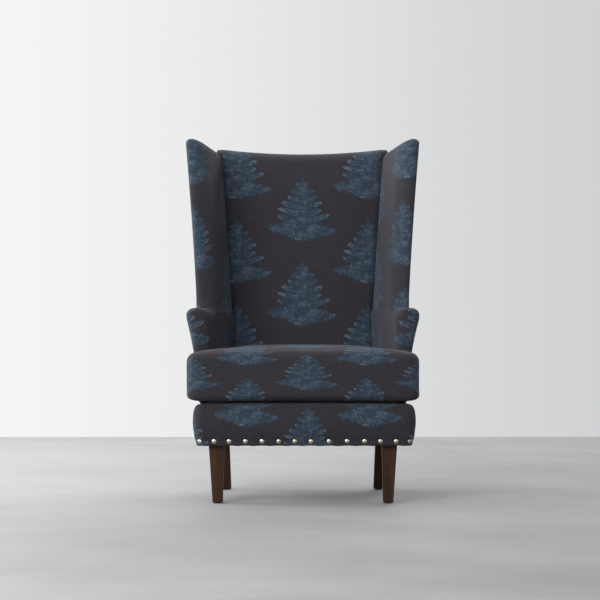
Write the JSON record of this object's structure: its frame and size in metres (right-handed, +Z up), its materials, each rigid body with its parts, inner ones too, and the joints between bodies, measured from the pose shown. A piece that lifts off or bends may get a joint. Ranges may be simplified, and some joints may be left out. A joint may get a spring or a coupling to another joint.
{
  "type": "wing armchair",
  "caption": "High-back wing armchair with reclined back, tapered and raked legs, nail-trimmed base and a lift-out T-shaped seat cushion.",
  "frame": {"origin": "on the floor, below the middle of the chair's box", "axes": "+Z up, +X to the right as seen from the front, -Y towards the front of the chair"},
  "size_m": [0.7626, 0.7993, 1.18],
  "materials": {
    "printed_fabric": "slubby linen weave, charcoal plum ground, printed slate-blue fir trees",
    "deck_cloth": "plain dark platform cloth",
    "dust_cloth": "black non-woven dust cloth",
    "hessian": "open jute hessian",
    "webbing": "woven elastic webbing",
    "foam": "cut upholstery foam",
    "walnut": "dark walnut stain, satin lacquer",
    "plywood": "raw birch plywood",
    "frame_wood": "raw planed hardwood",
    "nail_heads": "antique pewter dome heads",
    "steel": "zinc-plated steel",
    "glide": "black nylon",
    "zip_tape": "woven zip tape",
    "zip_metal": "gunmetal plated"
  },
  "bodies": {
    "chair": {"front_seat_rail": "frame_wood", "rear_seat_rail": "frame_wood", "left_seat_rail": "frame_wood", "right_seat_rail": "frame_wood", "corner_blocks": "frame_wood", "frame_screws": "steel", "left_arm_post": "frame_wood", "right_arm_post": "frame_wood", "left_arm_rail": "frame_wood", "right_arm_rail": "frame_wood", "left_back_post": "frame_wood", "right_back_post": "frame_wood", "top_back_rail": "frame_wood", "lower_back_rail": "frame_wood", "left_wing_board": "plywood", "right_wing_board": "plywood", "wing_cleats": "frame_wood", "seat_springs": "steel", "spring_clips": "steel", "seat_hessian": "hessian", "seat_deck_pad": "foam", "seat_deck_cover": "deck_cloth", "back_webbing": "webbing", "back_foam": "foam", "inside_back_cover": "printed_fabric", "outside_back_cover": "printed_fabric", "left_wing_pad": "foam", "right_wing_pad": "foam", "left_wing_cover": "printed_fabric", "right_wing_cover": "printed_fabric", "left_outside_wing_cover": "printed_fabric", "right_outside_wing_cover": "printed_fabric", "left_arm_pad": "foam", "right_arm_pad": "foam", "left_arm_cover": "printed_fabric", "right_arm_cover": "printed_fabric", "left_outside_arm_cover": "printed_fabric", "right_outside_arm_cover": "printed_fabric", "front_rail_pad": "foam", "front_rail_cover": "printed_fabric", "left_rail_pad": "foam", "right_rail_pad": "foam", "dust_cover": "dust_cloth", "front_left_leg": "walnut", "front_right_leg": "walnut", "rear_left_leg": "walnut", "rear_right_leg": "walnut", "leg_plates": "steel", "leg_bolts": "steel", "glides": "glide", "front_nails": "nail_heads", "left_nails": "nail_heads", "right_nails": "nail_heads"},
    "seat_cushion": {"cushion_cover": "printed_fabric", "cushion_core": "foam", "cushion_zip": "zip_tape"},
    "zip_slider": {"zip_slider": "zip_metal"}
  },
  "joints": [
    {"name": "cushion_lift", "type": "slide", "parent": "chair", "child": "seat_cushion", "axis": [0, -0.867, 0.4983], "range_m": [0, 0.6]},
    {"name": "zip_slide", "type": "slide", "parent": "seat_cushion", "child": "zip_slider", "axis": [1, 0, 0], "range_m": [0, 0.38]}
  ]
}
